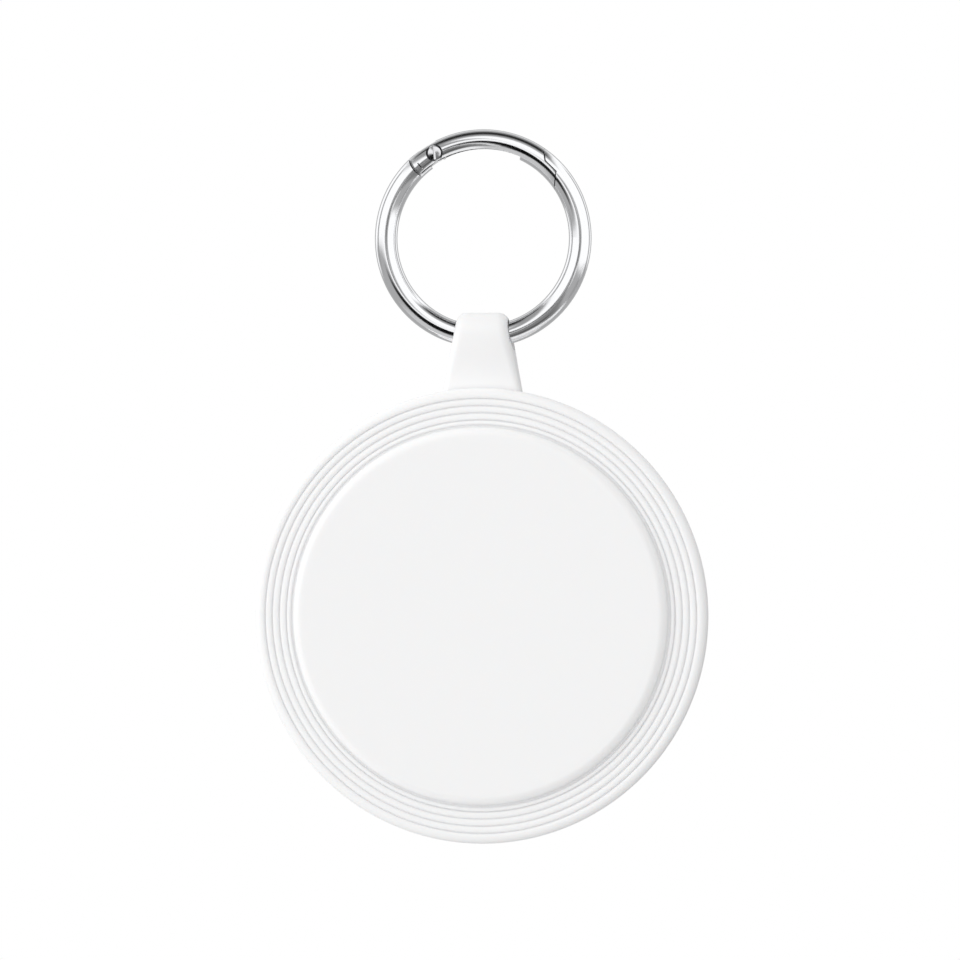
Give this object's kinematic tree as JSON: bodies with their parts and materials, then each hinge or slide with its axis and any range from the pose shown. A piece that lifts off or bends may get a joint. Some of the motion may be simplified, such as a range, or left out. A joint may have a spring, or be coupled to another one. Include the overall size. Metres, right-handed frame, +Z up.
{
  "type": "bluetooth tracker tag",
  "caption": "Coin-shaped tracker tag in a domed, ribbed silicone holder whose strap hangs on a round spring-gate ring.",
  "frame": {"origin": "centre of the ring, the point that the tag hangs about", "axes": "+Z up, from the disc to the ring; -Y out of the domed front; +X to the right seen from the front"},
  "size_m": [0.05, 0.0099, 0.0785],
  "materials": {
    "ring_chrome": "polished",
    "screw_steel": "satin",
    "spring_steel": "satin",
    "white_silicone": "matt",
    "case_plastic": "gloss",
    "black_seal": "matt",
    "cell_steel": "satin",
    "cell_gasket": "matt",
    "cell_filling": "matt",
    "contact_gold": "satin",
    "board_green": "satin",
    "chip_black": "matt",
    "crystal_metal": "satin",
    "passives": "satin",
    "buzzer_brass": "satin",
    "buzzer_ceramic": "matt",
    "buzzer_glue": "matt"
  },
  "bodies": {
    "ring": {"ring_body": "ring_chrome"},
    "gate": {"ring_gate": "ring_chrome", "gate_screw": "screw_steel", "gate_spring": "spring_steel"},
    "sleeve": {"silicone_sleeve": "white_silicone", "sleeve_lip": "white_silicone"},
    "tracker": {"front_cover": "case_plastic", "rear_case": "case_plastic", "case_seal": "black_seal", "cover_seal": "black_seal", "battery_can": "cell_steel", "battery_cap": "cell_steel", "battery_gasket": "cell_gasket", "battery_electrodes": "cell_filling", "negative_contact": "contact_gold", "positive_contacts": "contact_gold", "main_board": "board_green", "antenna_trace": "contact_gold", "radio_chip": "chip_black", "motion_sensor": "chip_black", "radio_crystal": "crystal_metal", "clock_crystal": "crystal_metal", "board_passives": "passives", "buzzer_disc": "buzzer_brass", "buzzer_ceramic": "buzzer_ceramic", "buzzer_adhesive": "buzzer_glue", "buzzer_contacts": "contact_gold"},
    "battery_door": {"battery_cover": "case_plastic"}
  },
  "joints": [
    {"name": "gate_pivot", "type": "hinge", "parent": "ring", "child": "gate", "pos_m": [-0.00526, 0, 0.00941], "axis": [0, 1, 0], "range_deg": [0, 30], "stiffness_Nm_per_rad": 0.0002, "springref_deg": -34.38, "deforming": ["gate_spring"]},
    {"name": "sleeve_swing", "type": "hinge", "parent": "ring", "child": "sleeve", "pos_m": [0, 0, -0.01054], "axis": [1, 0, 0], "range_deg": [-110, 110]},
    {"name": "tracker_push_out", "type": "slide", "parent": "sleeve", "child": "tracker", "axis": [0, 1, 0], "range_m": [0, 0.014], "deforming": ["sleeve_lip"]},
    {"name": "battery_door_off", "type": "slide", "parent": "tracker", "child": "battery_door", "axis": [0, 1, 0], "range_m": [0, 0.012]}
  ]
}
